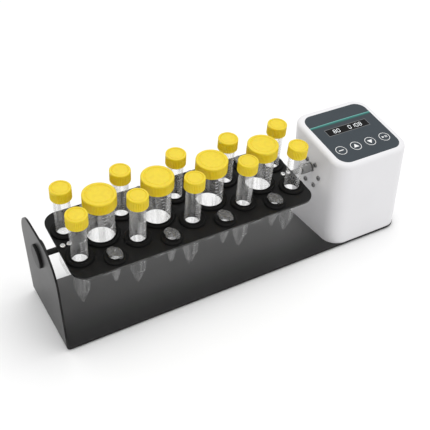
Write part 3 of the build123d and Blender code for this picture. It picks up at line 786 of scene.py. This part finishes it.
def number_shape(text, height, thickness):
    """The outline of a number as a closed shape, its middle at the origin."""
    curve = bpy.data.curves.new("number", "FONT")
    curve.body = text
    curve.size = height / 0.7
    curve.align_x = "CENTER"
    curve.align_y = "CENTER"
    curve.extrude = thickness / 2
    curve.resolution_u = 3
    holder = bpy.data.objects.new("number", curve)
    scene.collection.objects.link(holder)
    bpy.context.view_layer.update()
    mesh = bpy.data.meshes.new_from_object(holder)
    points = np.zeros(len(mesh.vertices) * 3, np.float32)
    mesh.vertices.foreach_get("co", points)
    faces = [list(polygon.vertices) for polygon in mesh.polygons]
    bpy.data.objects.remove(holder)
    return points.reshape(-1, 3).astype(float), faces


def rolled(shape, radius, turn):
    """Rolls a flat strip onto a barrel: angle = turn + x / radius, and z adds to the radius."""
    points, faces = shape
    angle = turn + points[:, 0] / radius
    reach = radius + points[:, 2]
    return np.stack([reach * np.cos(angle), reach * np.sin(angle), points[:, 1]], 1), faces


ink_depth = 0.04 * mm  # less than the grommets leave round a tube
scale_turn = radians(268)
scales = {
    "15ml": (5.8 * mm, 1.7, np.arange(2.0, 14.1, 0.5), 2.0, 2.0 * mm),
    "50ml": (1.72 * mm, 2.9, np.arange(5.0, 50.1, 2.5), 10.0, 3.2 * mm),
}
for size, (rise, in_cone, amounts, labelled, letter) in scales.items():
    radius, cone = barrels[size]
    strip = []
    for amount in amounts:
        height = cone + (amount - in_cone) * rise
        long = amount % labelled == 0
        half = letter * (0.9 if long else 0.5)
        low = (-half, height - 0.16 * mm, 0.0)
        strip.append(slab(low, (half, height + 0.16 * mm, ink_depth), 6))
        if long:
            digits, faces = number_shape(f"{amount:.0f}", letter, ink_depth)
            digits = digits + np.array([2.2 * letter, height, ink_depth / 2])
            strip.append((digits, faces))
    printed = rolled(join(strip), radius, scale_turn)
    for number in range(1, sizes[size][0] + 1):
        node = f"tube_{size}_{number}"
        low, high = local_box(node, rack_origin, rack_axes)
        foot = np.array([*(low + high)[:2] / 2, low[2]]) @ rack_axes + rack_origin
        piece(f"scale_{size}_{number}", moved(printed, foot, rack_axes), node, "ink")
    print(size, "scale", len(amounts), "marks,", len(printed[1]), "faces")

# %% [markdown]
# ## Grommets
# Rubber rings snap into the rack's holes and grip the tubes. Seen from above each is a fat
# rounded ring with a shallow trough and a thin raised collar at the bore. The profile is a
# closed loop round the sheet's edge, turned about the tube.

# %% Rings in the rack
lip = 3.0 * mm
sheet_low, sheet_high = local_box("rack_plate", rack_origin, rack_axes)
sheet = sheet_high[2] - sheet_low[2]
bores = {
    "grommets_15ml": (8.45 * mm, [f"tube_15ml_{n}" for n in range(1, 11)]),
    "grommets_50ml": (14.65 * mm, [f"tube_50ml_{n}" for n in range(1, 5)]),
}


def ring_profile(bore, flange, hole):
    """A closed loop of radius and height: over the top lip, down the bore, under the bottom
    lip and back through the groove that holds the sheet."""
    top = sheet + lip
    half = [
        (hole, sheet),
        (flange, sheet),
        (flange, top - 1.2 * mm),
        (flange - 1.3 * mm, top - 0.25 * mm),
        (bore + 2.7 * mm, top - 0.55 * mm),
        (bore + 1.7 * mm, top - 0.9 * mm),
        (bore + 1.2 * mm, top),
        (bore, top),
    ]
    lower = [(radius, sheet - height) for radius, height in half[::-1]]
    loop = half + lower
    cuts = [0, 0.2, 0.8, 0.9, 0.5, 0.4, 0.3, 0.5]
    return soften(loop, np.array(cuts + cuts[::-1]) * mm, 5, loop=True)


grommet_wall = 3.0 * mm
micro_bore = 5.45 * mm
micro_low, micro_high = local_box("grommets_micro", rack_origin, rack_axes)
micro_flange = 12.0 * mm
columns = [local_box(f"tube_50ml_{n}", rack_origin, rack_axes) for n in range(1, 5)]
micro_x = [(low[0] + high[0]) / 2 for low, high in columns]
micro_y = [micro_low[1] + micro_flange, micro_high[1] - micro_flange]
micro_spots = [(x, y) for x in micro_x for y in micro_y]


def rings(name, bore, flange, spots):
    ring = lathe(ring_profile(bore, flange, bore + grommet_wall), 72, loop=True)
    places = [np.array([x, y, 0.0]) @ rack_axes + rack_origin for x, y in spots]
    made = piece(f"ring_{name}", join([moved(ring, p, rack_axes) for p in places]), "rack", "rubber")
    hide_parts(name)
    print(name, len(spots), "rings,", len(made.data.polygons), "faces")


for name, (bore, tubes) in bores.items():
    boxes = [local_box(tube, rack_origin, rack_axes) for tube in tubes]
    spots = [tuple((low + high)[:2] / 2) for low, high in boxes]
    low, high = local_box(name, rack_origin, rack_axes)
    edge = min(x for x, y in spots)
    rings(name, bore, edge - low[0], spots)
rings("grommets_micro", micro_bore, micro_flange, micro_spots)

# %% [markdown]
# ## Small snap-lid tubes
# The smallest tubes have a lid moulded on a strap. From above the lid is a disc drawn out into
# a thumb tab on one side and the strap on the other, with a raised rim round a frosted field.
# Its outline is one formula: a circle plus two smooth bumps, which the rim and field follow.

# %% Bodies and lids
micro_radius = 5.4 * mm
micro_turn = radians(-65)
micro_box_low, micro_box_high = local_box("microtubes", rack_origin, rack_axes)
lid_radius = 6.6 * mm
lid_thick = 2.4 * mm
lid_top = micro_box_high[2]
rim_top = lid_top - lid_thick - 0.1 * mm
micro_tip = micro_box_low[2]


def lid_outline(angle):
    """Circle, plus a thumb tab where the angle is nought and a strap opposite it. Each bump
    falls away as e to minus a power of the angle over its width."""
    away = np.abs((angle + pi) % (2 * pi) - pi)
    opposite = pi - away
    tab = 2.9 * mm * np.exp(-((away / 0.55) ** 2))
    strap = 2.3 * mm * np.exp(-((opposite / 0.70) ** 4))
    return lid_radius + tab + strap


def lid_shape(sides=96):
    """Share of the outline's radius and height above the lid's foot, from the middle of the
    field over the rim and round to the middle of the underside."""
    rows = soften(
        [
            (0.0, lid_thick - 0.7 * mm),
            (0.66, lid_thick - 0.7 * mm),
            (0.74, lid_thick),
            (0.97, lid_thick),
            (1.0, lid_thick - 0.5 * mm),
            (1.0, 0.4 * mm),
            (0.96, 0.0),
            (0.0, 0.0),
        ],
        [0, 0.03, 0.03, 0.02, 0.3 * mm, 0.3 * mm, 0.02, 0],
        3,
    )
    angle = np.linspace(0, 2 * pi, sides, endpoint=False)[None, :]
    reach = rows[:, :1] * lid_outline(angle)
    height = rows[:, 1:] + 0 * angle
    points = np.stack([reach * np.cos(angle), reach * np.sin(angle), height], -1)
    return points.reshape(-1, 3), grid_faces(len(rows), sides)


micro_profile = soften(
    [
        (0.0, micro_tip),
        (micro_radius / 3, micro_tip),
        (micro_radius, micro_tip + 17 * mm),
        (micro_radius, rim_top - 1.2 * mm),
        (lid_radius, rim_top - 1.2 * mm),
        (lid_radius, rim_top),
        (micro_radius - tube_wall, rim_top),
        (micro_radius - tube_wall, micro_tip + 17 * mm),
        (micro_radius / 3 - 0.3 * mm, micro_tip + tube_wall),
        (0.0, micro_tip + tube_wall),
    ],
    [0, 1.2 * mm, 2 * mm, 0.1 * mm, 0.3 * mm, 0.3 * mm, 0.3 * mm, 2 * mm, 0.8 * mm, 0],
    5,
)
body = lathe(micro_profile, 64)
lid = moved(lid_shape(), (0.0, 0.0, lid_top - lid_thick))
turn = np.array([[cos(micro_turn), sin(micro_turn), 0], [-sin(micro_turn), cos(micro_turn), 0], [0, 0, 1]])
places = [np.array([x, y, 0.0]) @ rack_axes + rack_origin for x, y in micro_spots]
for name, shape, coat in (("small_tubes", body, "micro_tube"), ("snap_lids", lid, "snap_lid")):
    made = piece(name, join([moved(shape, p, turn @ rack_axes) for p in places]), "rack", coat, 50.0)
    print(name, len(places), "of", len(made.data.polygons) // len(places), "faces")
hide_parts("microtubes")

# %% [markdown]
# ## Screws
# Low button heads with a six-sided socket hold the rack to its shafts and the motor to the
# wall. A head is a lathe whose middle rows follow a hexagon instead of a circle: the radius of
# a hexagon at an angle is its half width over the cosine of the angle from the nearest flat.

# %% Button heads
def button_head(head, height, shank, length, socket):
    """A head's rows run from the socket's floor up its flat walls, over the dome to the rim,
    under the head, and down the shank to its end."""
    angle = np.linspace(0, 2 * pi, 72, endpoint=False)[None, :]
    flat = (angle + pi / 6) % (pi / 3) - pi / 6
    hexagon = socket / np.cos(flat)
    deep = height * 0.35
    rows = [
        (0 * angle, deep),
        (hexagon, deep),
        (hexagon, height - 0.12 * mm),
        (hexagon + 0.15 * mm, height),
        (socket + 0.35 * (head - socket) + 0 * angle, height),
        (socket + 0.75 * (head - socket) + 0 * angle, height * 0.86),
        (head * 0.97 + 0 * angle, height * 0.5),
        (head + 0 * angle, height * 0.2),
        (head + 0 * angle, 0.0),
        (shank + 0 * angle, 0.0),
        (shank + 0 * angle, -length),
        (0 * angle, -length),
    ]
    radius = np.concatenate([row[0] for row in rows])
    level = np.array([row[1] for row in rows])[:, None] + 0 * angle
    points = np.stack([radius * np.cos(angle), radius * np.sin(angle), level], -1)
    return points.reshape(-1, 3), grid_faces(len(rows), angle.shape[1])


head_radius = 2.9 * mm
head_height = 1.7 * mm
shank_radius = 1.5 * mm
button = button_head(head_radius, head_height, shank_radius, 4.9 * mm, 1.1 * mm)
screw_low, screw_high = local_box("rotor_screws", rack_origin, rack_axes)
plate_low, plate_high = local_box("rack_plate", rack_origin, rack_axes)
inset = screw_low[0] + head_radius - plate_low[0]
tab_screws = [side * (plate_high[0] - d) for side in (-1, 1) for d in (inset, inset + 7 * mm)]
heads = [moved(button, np.array([x, 0.0, sheet]) @ rack_axes + rack_origin, rack_axes) for x in tab_screws]
grub_x = screw_high[0] - shank_radius
grub = button_head(shank_radius, 0.9 * mm, shank_radius, 1.2 * mm, 0.65 * mm)
hub_top = local_box("drive_hub", rack_origin, rack_axes)[1][2]
heads.append(moved(grub, np.array([grub_x, 0.0, hub_top - 1.2 * mm]) @ rack_axes + rack_origin, rack_axes))
made = piece("rack_button_screws", join(heads), "rack", "bright_screw", 30.0)
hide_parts("rotor_screws")

low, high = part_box("motor_screws")
wall_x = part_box("housing")[0][0]
circle_y = (low[1] + high[1]) / 2
circle_z = (low[2] + high[2]) / 2
circle_radius = 15.5 * mm
outwards = np.array([[0, 1, 0], [0, 0, -1], [-1, 0, 0]], float)
motor_head = button_head(head_radius, head_height, shank_radius, 4.0 * mm, 1.1 * mm)
spread = np.arange(6) * pi / 3
spot_y = circle_y + circle_radius * np.cos(spread)
spot_z = circle_z + circle_radius * np.sin(spread)
spots = np.stack([0 * spread + wall_x, spot_y, spot_z], 1)
ring = join([moved(motor_head, p, outwards) for p in spots])
made = piece("motor_button_screws", ring, "frame", "dark_screw", 30.0)
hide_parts("motor_screws")
print("screws", len(heads) + len(spots), "round the motor", np.round(spots[0], 4))

# %% [markdown]
# ## Key prints and the display
# Each key has a thin printed ring and a sign: a bar, a triangle up, a triangle down, and a run
# mark beside a stop mark. The display's figures are seven lit bars each. All are raised by a
# few hundredths of a millimetre, as printed ink and lit segments look through a film.

# %% Rings, signs and digits
print_depth = 0.05 * mm


def prism(outline, bottom, top):
    """A closed prism over a flat outline: one row of points below, one above, and two lids."""
    flat = np.array(outline, float)
    lower = np.column_stack([flat, np.full(len(flat), bottom)])
    upper = np.column_stack([flat, np.full(len(flat), top)])
    count = len(flat)
    sides = grid_faces(2, count)
    lids = [list(range(count))[::-1], list(range(count, 2 * count))]
    return np.concatenate([lower, upper]), sides + lids


def rounded(outline, radius):
    """The same flat outline with its corners rounded."""
    return soften(outline, radius, 5, loop=True)


def triangle(size, upward, shift=0.0):
    """A triangle that points up or down, or to the right where upward is nought."""
    if upward:
        tip = [(0.0, upward * size), (-size, -upward * 0.62 * size), (size, -upward * 0.62 * size)]
    else:
        tip = [(size, 0.0), (-0.7 * size, size), (-0.7 * size, -size)]
    return rounded(np.array(tip) + np.array([shift, 0.0]), 0.35 * mm)


def bar(width, height, shift=0.0):
    corners = [(-width, -height), (width, -height), (width, height), (-width, height)]
    return rounded(np.array(corners) / 2 + np.array([shift, 0.0]), 0.25 * mm)


ring_loop = [(6.0, 0.0), (6.65, 0.0), (6.65, 0.05), (6.0, 0.05)]
key_ring = lathe(np.array(ring_loop) * mm, 96, loop=True)
signs = {
    "key_menu": [bar(6.4 * mm, 1.2 * mm)],
    "key_up": [triangle(3.4 * mm, 1.0)],
    "key_down": [triangle(3.4 * mm, -1.0)],
    "key_run": [
        triangle(1.7 * mm, 0.0, -2.0 * mm),
        bar(0.8 * mm, 3.4 * mm, 1.4 * mm),
        bar(0.8 * mm, 3.4 * mm, 3.0 * mm),
    ],
}
for key, outlines in signs.items():
    low, high = local_box(key, panel_origin, panel_axes)
    place = np.array([*(low + high)[:2] / 2, high[2]]) @ panel_axes + panel_origin
    parts = [key_ring] + [prism(outline, 0.0, print_depth) for outline in outlines]
    piece(f"print_{key}", moved(join(parts), place, panel_axes), key, "white_print")

segments = {
    "0": "abcdef",
    "1": "bc",
    "8": "abcdefg",
}
digit_width = 3.1 * mm
digit_height = 5.3 * mm
digit_pitch = 5.0 * mm
stroke = 0.6 * mm


def digit(sign):
    """Seven bars with pointed ends, some of them lit, leaning to the right by a tenth."""
    w, h, s = digit_width / 2, digit_height / 2, stroke / 2
    ends = {
        "a": ((-w, h), (w, h)),
        "b": ((w, h), (w, 0)),
        "c": ((w, 0), (w, -h)),
        "d": ((-w, -h), (w, -h)),
        "e": ((-w, -h), (-w, 0)),
        "f": ((-w, 0), (-w, h)),
        "g": ((-w, 0), (w, 0)),
    }
    bars = []
    for name in segments[sign]:
        start, end = np.array(ends[name])
        run = (end - start) / np.linalg.norm(end - start)
        side = np.array([-run[1], run[0]]) * s
        near, far = start + run * 0.12 * mm, end - run * 0.12 * mm
        left, right = near + run * s, far - run * s
        flat = np.array([near, left - side, right - side, far, right + side, left + side])
        flat[:, 0] += 0.1 * flat[:, 1]
        bars.append(prism(flat, 0.0, print_depth))
    return join(bars)


low, high = local_box("display_window", panel_origin, panel_axes)
groups = (("80", -18.0 * mm), ("0108", 3.0 * mm))
figures = []
for text, start in groups:
    for index, sign in enumerate(text):
        spot = np.array([start + index * digit_pitch, (low[1] + high[1]) / 2, high[2]])
        figures.append(moved(digit(sign), spot @ panel_axes + panel_origin, panel_axes))
piece("display_figures", join(figures), "frame", "lit_segment")
print("figures", len(figures), "window", np.round((high - low) / mm, 1))

# %% [markdown]
# ## Floor
# The bench is a plain matt plane, far larger than the view, at the height of the feet. It isn't
# part of the machine.

# %% Bench
floor_half = 4.0
corners = [(x * floor_half, y * floor_half, 0) for x, y in ((-1, -1), (1, -1), (1, 1), (-1, 1))]
floor_mesh = bpy.data.meshes.new("bench")
floor_mesh.from_pydata(corners, [], [(0, 1, 2, 3)])
floor = bpy.data.objects.new("bench", floor_mesh)
scene.collection.objects.link(floor)


def matt(place, normal):
    mottle = place.noise(120 * mm, 3.0)
    return {"Base Color": mottle.mix(grey(0.90), grey(0.92))}


floor_mesh.materials.append(finish("bench_white", matt, Roughness=0.9, Specular_IOR_Level=0.1))
print("bench", 2 * floor_half, "m square")

# %% [markdown]
# ## The end
